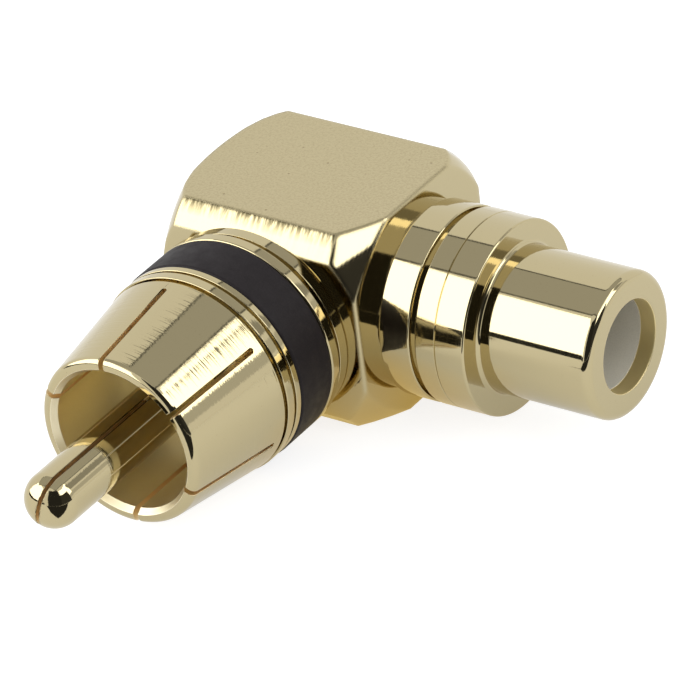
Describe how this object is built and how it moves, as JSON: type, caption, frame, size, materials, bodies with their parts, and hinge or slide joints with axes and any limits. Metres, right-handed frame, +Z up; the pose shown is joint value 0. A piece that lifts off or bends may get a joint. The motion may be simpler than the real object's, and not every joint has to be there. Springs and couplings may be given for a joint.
{
  "type": "right-angle rca adapter",
  "caption": "Right-angle coaxial adapter: a square block joins a slotted plug with a split centre pin to a round jack barrel with a lined mouth.",
  "frame": {"origin": "on the block's flat bottom face, straight below the crossing of the plug's axis and the jack's axis", "axes": "+X along the jack's axis, out of its mouth; -Y along the plug's axis, towards the pin's tip; +Z up, away from the face that the block rests on"},
  "size_m": [0.0263, 0.033, 0.0123],
  "materials": {
    "gold_brass": "polished pale gold plating",
    "black_ring": "satin black",
    "grey_insulator": "pale grey, matte"
  },
  "bodies": {
    "root": {"elbow_block": "gold_brass", "plug_collar": "gold_brass", "marker_ring": "black_ring", "plug_shell": "gold_brass", "plug_insulator": "grey_insulator", "center_pin": "gold_brass", "jack_barrel": "gold_brass", "jack_insulator": "grey_insulator", "jack_contact": "gold_brass"}
  },
  "joints": []
}
